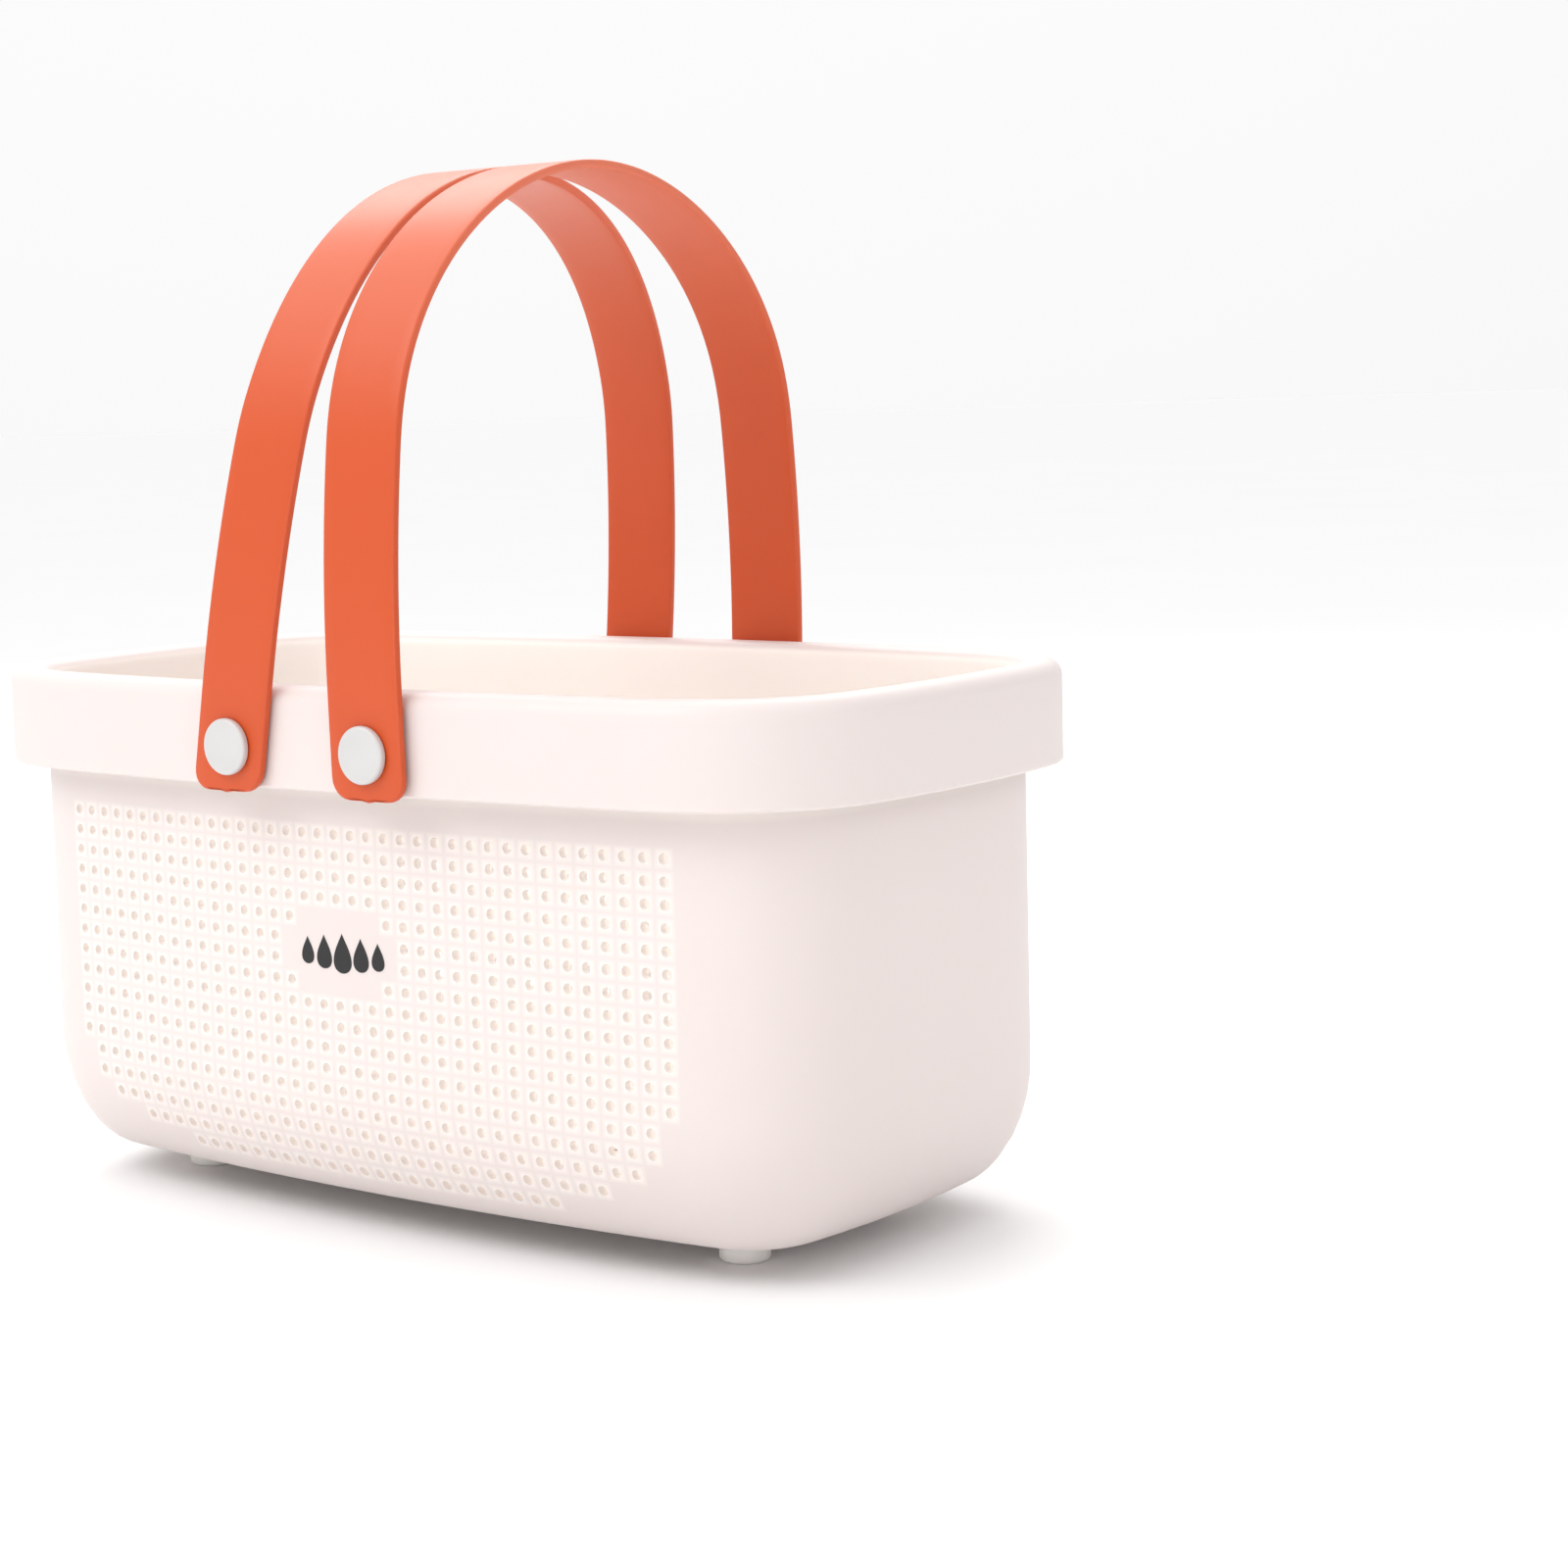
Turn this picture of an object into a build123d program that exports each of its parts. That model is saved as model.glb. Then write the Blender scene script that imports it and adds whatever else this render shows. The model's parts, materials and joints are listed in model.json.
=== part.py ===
from build123d import *
import math
import os

# Bathroom caddy: a perforated moulded tub with a rolled rim, four plug-in feet and
# two flexible strap handles, each hinged on a front and a back rivet.
# Units are millimetres. +X runs along the length, -Y is the printed front, +Z is up.
# The origin is the middle of the footprint, on the surface that the feet stand on.

# ---- driving dimensions -------------------------------------------------------------
LENGTH = 315.0
WIDTH = 178.0
HEIGHT = 156.0

LONG_SIDE_RADIUS = 1006.0
SHORT_SIDE_RADIUS = 368.0
CORNER_RADIUS = 47.5

SKIRT_DEPTH = 28.0
SKIRT_WALL = 2.2
RIM_OUTER_ROUND = 4.6
RIM_INNER_ROUND = 3.6
RIM_OVERHANG = 10.4

WALL = 2.2
FLOOR = 2.4
BASE_ROUND_HEIGHT = 35.0
BASE_ROUND_WIDTH = 21.5
BASE_ROUND_POWER = 1.85
BASE_ROUND_SECTIONS = 9

FOOT_HEIGHT = 8.6
FOOT_RADIUS = 7.0
FOOT_ROUND = 1.0
FOOT_PLUG_RADIUS = 3.0
FOOT_PLUG_LENGTH = 1.8
FOOT_X = 101.9
FOOT_Y = 31.4

HOLE_RADIUS = 1.5
HOLE_PITCH_X = 6.1
HOLE_PITCH_Z = 6.0
HOLE_TOP_Z = 114.8
HOLE_COLUMNS_EACH_WAY = 18
HOLE_ROWS = 17
ROW_TRIM = {12: 1, 13: 1, 14: 2, 15: 4, 16: 7}
PATCH_HALF_COLUMNS = {4: 2, 5: 3, 6: 3, 7: 2}
DRAIN_PITCH = 12.0
DRAIN_COLUMNS_EACH_WAY = 6
DRAIN_ROWS_EACH_WAY = 2

PIVOT_X = 25.5
PIVOT_Z = 139.5

STRAP_WIDTH = 25.6
STRAP_THICK = 2.5
STRAP_HALF_SPAN = 90.8
STRAP_STRAIGHT = 16.0
STRAP_CROWN_RADIUS = 86.8
STRAP_CROWN_HEIGHT = 157.5
STRAP_BEND = 97.0
STRAP_TAIL = 12.6
STRAP_TAB_ROUND = 6.0

RIVET_SHANK_RADIUS = 3.5
RIVET_RUNNING_CLEARANCE = 0.05
RIVET_HEAD_RADIUS = 7.9
RIVET_HEAD_THICK = 2.1
RIVET_HEAD_ROUND = 1.0
RIVET_HEAD_GAP = 0.3
CAP_RADIUS = 6.5
CAP_THICK = 2.4
CAP_GAP = 0.3

# Sideways course of each strap: how far its crown stands from its rivets, and how much
# its front and back halves lean. The left strap leans over towards the right one.
STRAPS = {
    "left": {"side": -1, "crown_shift": 20.7, "front_lean": 0.175, "back_lean": 0.09},
    "right": {"side": 1, "crown_shift": -0.5, "front_lean": -0.022, "back_lean": 0.022},
}

# ---- derived sizes ------------------------------------------------------------------
SKIRT_BOTTOM = HEIGHT - SKIRT_DEPTH
BASE_ROUND_TOP = FOOT_HEIGHT + BASE_ROUND_HEIGHT


# ---- plan outline -------------------------------------------------------------------
def corner_centre():
    """Centre of the corner arc that is tangent to both bowed sides."""
    long_y = WIDTH / 2 - LONG_SIDE_RADIUS
    short_x = LENGTH / 2 - SHORT_SIDE_RADIUS
    reach_long = LONG_SIDE_RADIUS - CORNER_RADIUS
    reach_short = SHORT_SIDE_RADIUS - CORNER_RADIUS
    apart = math.hypot(short_x, long_y)
    along = (reach_long**2 - reach_short**2 + apart**2) / (2 * apart)
    across = math.sqrt(reach_long**2 - along**2)
    unit_x = short_x / apart
    unit_y = -long_y / apart
    return (
        along * unit_x + across * unit_y,
        long_y + along * unit_y - across * unit_x,
    )


def toward(start, end, distance):
    """Point at a distance from start, on the line towards end and beyond."""
    span = math.dist(start, end)
    return (
        start[0] + (end[0] - start[0]) * distance / span,
        start[1] + (end[1] - start[1]) * distance / span,
    )


def basket_outline(inset, z):
    """Face of the plan outline, moved inwards by inset, at height z."""
    centre = corner_centre()
    long_centre = (0.0, WIDTH / 2 - LONG_SIDE_RADIUS)
    short_centre = (LENGTH / 2 - SHORT_SIDE_RADIUS, 0.0)
    long_end = toward(long_centre, centre, LONG_SIDE_RADIUS - inset)
    short_end = toward(short_centre, centre, SHORT_SIDE_RADIUS - inset)
    bisector = math.atan2(long_end[1] - centre[1], long_end[0] - centre[0])
    bisector += math.atan2(short_end[1] - centre[1], short_end[0] - centre[0])
    corner_mid = (
        centre[0] + (CORNER_RADIUS - inset) * math.cos(bisector / 2),
        centre[1] + (CORNER_RADIUS - inset) * math.sin(bisector / 2),
    )

    def place(point, flip_x, flip_y):
        return (point[0] * flip_x, point[1] * flip_y, z)

    long_mid = (0.0, WIDTH / 2 - inset)
    short_mid = (LENGTH / 2 - inset, 0.0)
    edges = []
    for flip_y in (1, -1):
        edges.append(
            ThreePointArc(
                place(long_end, -1, flip_y), place(long_mid, 1, flip_y), place(long_end, 1, flip_y)
            )
        )
    for flip_x in (1, -1):
        edges.append(
            ThreePointArc(
                place(short_end, flip_x, 1), place(short_mid, flip_x, 1), place(short_end, flip_x, -1)
            )
        )
        for flip_y in (1, -1):
            edges.append(
                ThreePointArc(
                    place(long_end, flip_x, flip_y),
                    place(corner_mid, flip_x, flip_y),
                    place(short_end, flip_x, flip_y),
                )
            )
    return make_face(edges)


def prism(inset, bottom, top):
    """Straight-sided block on the plan outline between two heights."""
    return extrude(basket_outline(inset, bottom), amount=top - bottom, dir=(0, 0, 1))


# ---- tub ----------------------------------------------------------------------------
def tub_body(shell, floor):
    """Outside of the tub for shell = 0, or its hollow for a wall and floor thickness."""
    inset = RIM_OVERHANG + shell
    bottom = FOOT_HEIGHT + floor
    round_height = BASE_ROUND_TOP - bottom
    sections = []
    for step in range(BASE_ROUND_SECTIONS):
        turn = math.pi / 2 * step / (BASE_ROUND_SECTIONS - 1)
        inward = BASE_ROUND_WIDTH * (1 - math.sin(turn) ** (2 / BASE_ROUND_POWER))
        drop = round_height * max(math.cos(turn), 0.0) ** (2 / BASE_ROUND_POWER)
        sections.append(basket_outline(inset + inward, BASE_ROUND_TOP - drop))
    return loft(sections, ruled=True) + prism(inset, BASE_ROUND_TOP, HEIGHT)


def along_y(radius, length, x, y, z):
    """Round bar that runs along Y, from y towards +Y."""
    return Pos(x, y + length / 2, z) * Rot(90, 0, 0) * Cylinder(radius, length)


def wall_hole_places():
    """Column and row centres of the perforated field, clear of the printed patch."""
    places = []
    for row in range(HOLE_ROWS):
        reach = HOLE_COLUMNS_EACH_WAY - ROW_TRIM.get(row, 0)
        for column in range(-reach, reach + 1):
            if abs(column) > PATCH_HALF_COLUMNS.get(row, -1):
                places.append((column * HOLE_PITCH_X, HOLE_TOP_Z - row * HOLE_PITCH_Z))
    return places


def make_tub():
    outside = tub_body(0.0, 0.0)
    rim = prism(0.0, SKIRT_BOTTOM, HEIGHT)
    rim = fillet(rim.edges().group_by(Axis.Z)[-1], RIM_OUTER_ROUND)
    channel = prism(SKIRT_WALL, SKIRT_BOTTOM - 1, HEIGHT - SKIRT_WALL) - outside
    hollow = tub_body(WALL, FLOOR) + prism(RIM_OVERHANG + WALL, HEIGHT - 1, HEIGHT + 1)
    tub = outside + (rim - channel) - hollow
    mouth = basket_outline(RIM_OVERHANG, HEIGHT)
    top_edges = tub.edges().group_by(Axis.Z)[-1]
    tub = fillet([edge for edge in top_edges if mouth.is_inside(edge.center())], RIM_INNER_ROUND)
    cutters = [along_y(HOLE_RADIUS, WIDTH, x, -WIDTH / 2, z) for x, z in wall_hole_places()]
    for column in range(-DRAIN_COLUMNS_EACH_WAY, DRAIN_COLUMNS_EACH_WAY + 1):
        for row in range(-DRAIN_ROWS_EACH_WAY, DRAIN_ROWS_EACH_WAY + 1):
            cutters.append(
                Pos(column * DRAIN_PITCH, row * DRAIN_PITCH, FOOT_HEIGHT + FLOOR / 2)
                * Cylinder(HOLE_RADIUS, 3 * FLOOR)
            )
    for x in (-FOOT_X, FOOT_X):
        for y in (-FOOT_Y, FOOT_Y):
            cutters.append(Pos(x, y, FOOT_HEIGHT) * Cylinder(FOOT_PLUG_RADIUS, 2 * FOOT_PLUG_LENGTH))
    for x in (-PIVOT_X, PIVOT_X):
        for y in (-WIDTH / 2 - 1, WIDTH / 2 - SKIRT_WALL - 2):
            cutters.append(along_y(RIVET_SHANK_RADIUS, SKIRT_WALL + 3, x, y, PIVOT_Z))
    return tub - cutters


# ---- feet ---------------------------------------------------------------------------
def make_foot(x, y):
    pad = Pos(0, 0, FOOT_HEIGHT / 2) * Cylinder(FOOT_RADIUS, FOOT_HEIGHT)
    pad = fillet(pad.edges().group_by(Axis.Z)[0], FOOT_ROUND)
    plug = Pos(0, 0, FOOT_HEIGHT + FOOT_PLUG_LENGTH / 2) * Cylinder(FOOT_PLUG_RADIUS, FOOT_PLUG_LENGTH)
    return Pos(x, y, 0) * (pad + plug)


# ---- rivets -------------------------------------------------------------------------
def skirt_face_y():
    """Distance from the middle plane to the skirt's outer face at a rivet."""
    return WIDTH / 2 - LONG_SIDE_RADIUS + math.sqrt(LONG_SIDE_RADIUS**2 - PIVOT_X**2)


def make_rivet(x, side):
    """Button head outside the strap, with a shank through strap and skirt."""
    head_inner = STRAP_HALF_SPAN + STRAP_THICK / 2 + RIVET_HEAD_GAP
    shank_end = skirt_face_y() - SKIRT_WALL - CAP_GAP - CAP_THICK
    head = Pos(0, 0, head_inner + RIVET_HEAD_THICK / 2) * Cylinder(RIVET_HEAD_RADIUS, RIVET_HEAD_THICK)
    head = fillet(head.edges().group_by(Axis.Z)[-1], RIVET_HEAD_ROUND)
    shank_length = head_inner - shank_end
    shank = Pos(0, 0, shank_end + shank_length / 2) * Cylinder(RIVET_SHANK_RADIUS, shank_length)
    return Pos(x, 0, PIVOT_Z) * Rot(90 * -side, 0, 0) * (head + shank)


def make_rivet_cap(x, side):
    """Ring pressed on the shank's end, behind the skirt."""
    outer = skirt_face_y() - SKIRT_WALL - CAP_GAP
    ring = Cylinder(CAP_RADIUS, CAP_THICK) - Cylinder(RIVET_SHANK_RADIUS, CAP_THICK)
    return Pos(x, 0, PIVOT_Z) * Rot(90 * -side, 0, 0) * Pos(0, 0, outer - CAP_THICK / 2) * ring


# ---- strap handles ------------------------------------------------------------------
def arch_edges(offset):
    """Strap line over the basket, in the YZ plane, moved outwards by offset."""
    crown_z = STRAP_CROWN_HEIGHT - STRAP_CROWN_RADIUS
    rise = crown_z - STRAP_STRAIGHT
    side_radius = (STRAP_HALF_SPAN**2 + rise**2 - STRAP_CROWN_RADIUS**2) / (
        2 * (STRAP_HALF_SPAN - STRAP_CROWN_RADIUS)
    )
    side_y = STRAP_HALF_SPAN - side_radius
    join_angle = math.atan2(rise, -side_y)

    def on_arc(centre_y, centre_z, radius, angle, flip):
        y = centre_y + (radius + offset) * math.cos(angle)
        return (0, flip * y, PIVOT_Z + centre_z + (radius + offset) * math.sin(angle))

    edges = []
    for flip in (-1, 1):
        tail = (0, flip * (STRAP_HALF_SPAN + offset), PIVOT_Z - 2 * STRAP_TAIL)
        spring = on_arc(side_y, STRAP_STRAIGHT, side_radius, 0, flip)
        middle = on_arc(side_y, STRAP_STRAIGHT, side_radius, join_angle / 2, flip)
        join = on_arc(side_y, STRAP_STRAIGHT, side_radius, join_angle, flip)
        edges.append(Line(tail, spring))
        edges.append(ThreePointArc(spring, middle, join))
    crown_left = on_arc(0, crown_z, STRAP_CROWN_RADIUS, join_angle, -1)
    crown = on_arc(0, crown_z, STRAP_CROWN_RADIUS, math.pi / 2, 1)
    crown_right = on_arc(0, crown_z, STRAP_CROWN_RADIUS, join_angle, 1)
    edges.append(ThreePointArc(crown_left, crown, crown_right))
    return edges


def arch_sheet():
    """Bent sheet of strap thickness, wide enough to cut a strap from."""
    edges = arch_edges(STRAP_THICK / 2) + arch_edges(-STRAP_THICK / 2)
    for flip in (-1, 1):
        edges.append(
            Line(
                (0, flip * (STRAP_HALF_SPAN - STRAP_THICK / 2), PIVOT_Z - 2 * STRAP_TAIL),
                (0, flip * (STRAP_HALF_SPAN + STRAP_THICK / 2), PIVOT_Z - 2 * STRAP_TAIL),
            )
        )
    return extrude(make_face(edges), amount=60, dir=(1, 0, 0), both=True)


def strap_cutter(pivot_x, crown_shift, lean, side):
    """Front or back half of a strap's outline, seen along Y, as a block.

    The strap runs straight from its tab, leaning sideways by lean per unit of height,
    then bends over to its place at the crown.
    """
    top = STRAP_CROWN_HEIGHT + STRAP_THICK

    def place(across, height, shift):
        return Vector(pivot_x + across + shift, 0, PIVOT_Z + height)

    def edge_lines(across):
        tail = place(across, -STRAP_TAIL, -lean * STRAP_TAIL)
        bend = place(across, STRAP_BEND, lean * STRAP_BEND)
        crown = place(across, top, crown_shift)
        return tail, Line(bend, tail), TangentArc(bend, crown, tangent=(lean, 0, 1))

    left_tail, left_line, left_bend = edge_lines(-STRAP_WIDTH / 2)
    right_tail, right_line, right_bend = edge_lines(STRAP_WIDTH / 2)
    crown = Line(left_bend @ 1, right_bend @ 1)
    face = make_face([left_line, left_bend, crown, right_bend, right_line, Line(left_tail, right_tail)])
    block = extrude(face, amount=WIDTH, dir=(0, side, 0))
    tab_corners = block.edges().filter_by(Axis.Y).group_by(Axis.Z)[0]
    return fillet(tab_corners, STRAP_TAB_ROUND)


def make_strap(side, crown_shift, front_lean, back_lean):
    pivot_x = side * PIVOT_X
    outline = strap_cutter(pivot_x, crown_shift, front_lean, -1)
    outline += strap_cutter(pivot_x, crown_shift, back_lean, 1)
    bore = along_y(
        RIVET_SHANK_RADIUS + RIVET_RUNNING_CLEARANCE, 2 * WIDTH, pivot_x, -WIDTH, PIVOT_Z
    )
    return (arch_sheet() & outline) - bore


# ---- parts --------------------------------------------------------------------------
parts = {"basket_tub": make_tub()}
for end, x in (("left", -1), ("right", 1)):
    parts["handle_strap_" + end] = make_strap(**STRAPS[end])
    for face, y in (("front", -1), ("back", 1)):
        parts["foot_" + face + "_" + end] = make_foot(x * FOOT_X, y * FOOT_Y)
        parts["rivet_" + face + "_" + end] = make_rivet(x * PIVOT_X, y)
        parts["rivet_cap_" + face + "_" + end] = make_rivet_cap(x * PIVOT_X, y)

os.makedirs("parts", exist_ok=True)
for name, shape in parts.items():
    export_step(shape, "parts/" + name + ".step", write_pcurves=False)
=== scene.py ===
import json
import math

import bmesh
import bpy
from mathutils import Matrix, Vector


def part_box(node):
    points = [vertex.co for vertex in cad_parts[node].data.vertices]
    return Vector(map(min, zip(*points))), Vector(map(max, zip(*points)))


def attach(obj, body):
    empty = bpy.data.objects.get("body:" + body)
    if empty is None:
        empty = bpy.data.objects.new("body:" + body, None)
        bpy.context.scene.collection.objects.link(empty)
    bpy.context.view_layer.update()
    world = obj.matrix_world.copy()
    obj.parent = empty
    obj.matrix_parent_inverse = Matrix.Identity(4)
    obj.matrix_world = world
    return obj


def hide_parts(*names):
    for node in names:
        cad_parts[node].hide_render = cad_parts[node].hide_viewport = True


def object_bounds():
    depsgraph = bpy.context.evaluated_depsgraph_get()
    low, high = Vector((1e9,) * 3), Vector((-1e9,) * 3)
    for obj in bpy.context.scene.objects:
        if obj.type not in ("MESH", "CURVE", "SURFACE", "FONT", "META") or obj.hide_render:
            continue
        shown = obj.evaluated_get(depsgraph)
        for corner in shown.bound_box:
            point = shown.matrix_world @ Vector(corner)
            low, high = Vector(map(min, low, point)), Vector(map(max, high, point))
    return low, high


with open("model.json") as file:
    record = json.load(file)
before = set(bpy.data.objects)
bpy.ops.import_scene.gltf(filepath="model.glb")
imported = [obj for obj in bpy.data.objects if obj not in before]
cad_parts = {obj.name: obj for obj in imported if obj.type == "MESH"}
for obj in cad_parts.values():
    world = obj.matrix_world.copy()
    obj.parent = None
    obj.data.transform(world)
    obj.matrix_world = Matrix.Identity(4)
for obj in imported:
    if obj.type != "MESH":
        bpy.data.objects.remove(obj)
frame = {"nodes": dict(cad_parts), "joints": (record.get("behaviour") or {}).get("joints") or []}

# Looks of the bathroom caddy: a perforated tub with a rolled rim, two strap handles on
# button rivets, and four feet. Sizes are in metres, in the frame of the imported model.

CAD_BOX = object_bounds()
TUB_LOW, TUB_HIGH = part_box("basket_tub")
JOINTS = {joint["name"]: joint for joint in frame["joints"]}
MM = 0.001

# ---- tub sizes ----------------------------------------------------------------------
HALF_LENGTH = TUB_HIGH.x
HALF_WIDTH = TUB_HIGH.y
RIM_TOP = TUB_HIGH.z
FOOT_HEIGHT = TUB_LOW.z

LONG_SIDE_RADIUS = 1006 * MM
SHORT_SIDE_RADIUS = 368 * MM
CORNER_RADIUS = 47.5 * MM

WALL = 2.2 * MM
FLOOR = 2.4 * MM
RIM_OVERHANG = 10.4 * MM
RIM_OUTER_ROUND = 4.6 * MM
RIM_INNER_ROUND = 3.6 * MM
SKIRT_BOTTOM = RIM_TOP - 28 * MM
SKIRT_LIP_ROUND = 0.6 * MM
BASE_ROUND_HEIGHT = 35 * MM
BASE_ROUND_WIDTH = 21.5 * MM
BASE_ROUND_POWER = 1.85
BASE_ROUND_TOP = FOOT_HEIGHT + BASE_ROUND_HEIGHT

HOLE_RADIUS = 1.5 * MM
HOLE_EDGE_PARTS = 4
HOLE_PITCH_X = 6.1 * MM
HOLE_PITCH_Z = 6.0 * MM
HOLE_COLUMNS = 37
HOLE_ROWS = 17
HOLE_FIELD_TOP = 117.8 * MM
HOLE_FIELD_BOTTOM = HOLE_FIELD_TOP - HOLE_ROWS * HOLE_PITCH_Z
ROW_TRIM = {12: 1, 13: 1, 14: 2, 15: 4, 16: 7}
PATCH_HALF_COLUMNS = {4: 2, 5: 3, 6: 3, 7: 2}
DRAIN_PITCH = 12 * MM
DRAIN_COLUMNS = 13
DRAIN_ROWS = 5
MERGE = 0.001 * MM
SAME_LEVEL = 0.01 * MM

# ---- strap sizes --------------------------------------------------------------------
STRAP_WIDTH = 25.6 * MM
STRAP_THICK = 2.5 * MM
STRAP_EDGE_ROUND = 0.75 * MM
STRAP_HALF_SPAN = 90.8 * MM
STRAP_STRAIGHT = 16 * MM
STRAP_CROWN_RADIUS = 86.8 * MM
STRAP_CROWN_HEIGHT = 157.5 * MM
STRAP_BEND = 97 * MM
STRAP_TAIL = 12.6 * MM
STRAP_TAB_ROUND = 6 * MM
GATE_NUB = 0.45 * MM
STRAP_COLUMNS = 6
STRAP_STEP = 3 * MM
STRAP_COURSES = {
    "left": {"crown_shift": 20.7 * MM, "front_lean": 0.175, "back_lean": 0.09},
    "right": {"crown_shift": -0.5 * MM, "front_lean": -0.022, "back_lean": 0.022},
}

# ---- rivet, foot and mark sizes -----------------------------------------------------
HEAD_THICK = 2.1 * MM
HEAD_EDGE = 0.9 * MM
HEAD_BACK_EDGE = 0.3 * MM
SHANK_RADIUS = 3.5 * MM
DISH_LIP = 1.3 * MM
DISH_EDGE = 1.8 * MM
DISH_EDGE_DEPTH = 0.2 * MM
DISH_MIDDLE_DEPTH = 0.12 * MM
PAD_EDGE = 1.1 * MM
PAD_RECESS = 0.6 * MM
PAD_RECESS_IN = 3 * MM
PAD_RECESS_OUT = 2.4 * MM
PAD_SOCKET = 0.5 * MM
MARK_MIDDLE_X = 1.5 * MM
MARK_MIDDLE_Z = 81.8 * MM
MARK_PROUD = 0.05 * MM
# Each drop's place beside the middle, and its size, in millimetres.
DROPS = ((-13, 4.6), (-6.7, 5.6), (0.2, 6.6), (7.1, 5.6), (13.4, 4.6))

# ---- camera and lamps ---------------------------------------------------------------
CAMERA_PLACE = (0.6069, -0.7127, 0.2343)
CAMERA_AZIMUTH = math.radians(39.98)
CAMERA_ELEVATION = math.radians(5.94)
CAMERA_ROLL = math.radians(-1.86)
CAMERA_LENS = 73.8
CAMERA_SHIFT = (0.156, -0.0375)
ROOM_BRIGHTEST = (-0.55, 0.65, 0.5)
ROOM_DARK = 0.32
ROOM_BRIGHT = 1.0
TUB_MIDDLE = (0, 0, 0.12)
# Name, place, what it is aimed at, size and power of each soft lamp.
SOFTBOXES = (
    ("key_softbox", (-0.5, -1.4, 1.5), TUB_MIDDLE, (1.3, 1.1), 12),
    ("side_softbox", (1.6, -0.1, 1.0), TUB_MIDDLE, (0.9, 0.9), 4),
    ("low_softbox", (0.6, -1.5, 0.22), (0, 0, 0.03), (1.6, 0.4), 4.5),
    ("rear_softbox", (-0.5, 0.65, 1.15), (0, 0, 0.25), (1.0, 0.8), 7),
)


# ---- node maths ---------------------------------------------------------------------
class Sum:
    """A shader value that adds Math nodes when it is used in an expression."""

    def __init__(self, nodes, socket):
        self.nodes = nodes
        self.socket = socket

    def combine(self, operation, *others, swap=False):
        values = [self, *others]
        if swap:
            values.reverse()
        made = self.nodes.add("ShaderNodeMath", {"operation": operation}, dict(enumerate(values)))
        return Sum(self.nodes, made.outputs[0])

    def __add__(self, other):
        return self.combine("ADD", other)

    __radd__ = __add__

    def __mul__(self, other):
        return self.combine("MULTIPLY", other)

    __rmul__ = __mul__

    def __sub__(self, other):
        return self.combine("SUBTRACT", other)

    def __rsub__(self, other):
        return self.combine("SUBTRACT", other, swap=True)

    def above(self, edge, softness):
        """0 below the edge, 1 above it, with a soft step between."""
        made = self.nodes.add(
            "ShaderNodeMapRange",
            {"interpolation_type": "SMOOTHSTEP"},
            {"Value": self, "From Min": edge - softness, "From Max": edge + softness},
        )
        return Sum(self.nodes, made.outputs[0])


class Finish:
    """One material and the few calls that its maker uses."""

    def __init__(self, name):
        self.material = bpy.data.materials.new(name)
        self.material.use_nodes = True
        self.tree = self.material.node_tree
        self.tree.nodes.clear()
        self.output = self.add("ShaderNodeOutputMaterial", {}, {})
        self.shader = self.add("ShaderNodeBsdfPrincipled", {}, {})
        self.tree.links.new(self.shader.outputs[0], self.output.inputs["Surface"])
        self.place = self.add("ShaderNodeTexCoord", {}, {}).outputs["Object"]

    def add(self, kind, settings, sockets):
        node = self.tree.nodes.new(kind)
        for name, value in settings.items():
            setattr(node, name, value)
        for name, value in sockets.items():
            if isinstance(value, Sum):
                value = value.socket
            if isinstance(value, bpy.types.NodeSocket):
                self.tree.links.new(value, node.inputs[name])
            else:
                node.inputs[name].default_value = value
        return node

    def set(self, **sockets):
        for name, value in sockets.items():
            target = self.shader.inputs[name.replace("_", " ").title().replace("Ior", "IOR")]
            if isinstance(value, Sum):
                value = value.socket
            if isinstance(value, bpy.types.NodeSocket):
                self.tree.links.new(value, target)
            else:
                target.default_value = value

    def noise(self, scale, detail=3.0, roughness=0.5, stretch=(1, 1, 1)):
        """Cloudy pattern; scale is in waves per metre, stretch squeezes it per axis."""
        mapped = self.add("ShaderNodeMapping", {}, {"Vector": self.place, "Scale": stretch})
        made = self.add(
            "ShaderNodeTexNoise",
            {},
            {"Vector": mapped.outputs[0], "Scale": scale, "Detail": detail, "Roughness": roughness},
        )
        return Sum(self, made.outputs["Fac"])

    def painted(self, name):
        """Amount painted on the mesh, from 0 to 1."""
        made = self.add("ShaderNodeAttribute", {"attribute_name": name}, {})
        return Sum(self, made.outputs["Fac"])

    def axis(self, name):
        made = self.add("ShaderNodeSeparateXYZ", {}, {"Vector": self.place})
        return Sum(self, made.outputs[name])

    def blend(self, factor, first, second):
        """Colour between two colours, or between links of them."""
        made = self.add("ShaderNodeMix", {"data_type": "RGBA"}, {})
        colour_inputs = [s for s in made.inputs if s.type == "RGBA"]
        targets = (made.inputs[0], colour_inputs[0], colour_inputs[1])
        for target, value in zip(targets, (factor, first, second)):
            if isinstance(value, Sum):
                value = value.socket
            if isinstance(value, bpy.types.NodeSocket):
                self.tree.links.new(value, target)
            else:
                target.default_value = value
        return [s for s in made.outputs if s.type == "RGBA"][0]

    def bump(self, height, depth, strength=1.0):
        """Fine relief; depth in metres."""
        made = self.add(
            "ShaderNodeBump", {}, {"Height": height, "Distance": depth, "Strength": strength}
        )
        self.tree.links.new(made.outputs[0], self.shader.inputs["Normal"])


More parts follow.
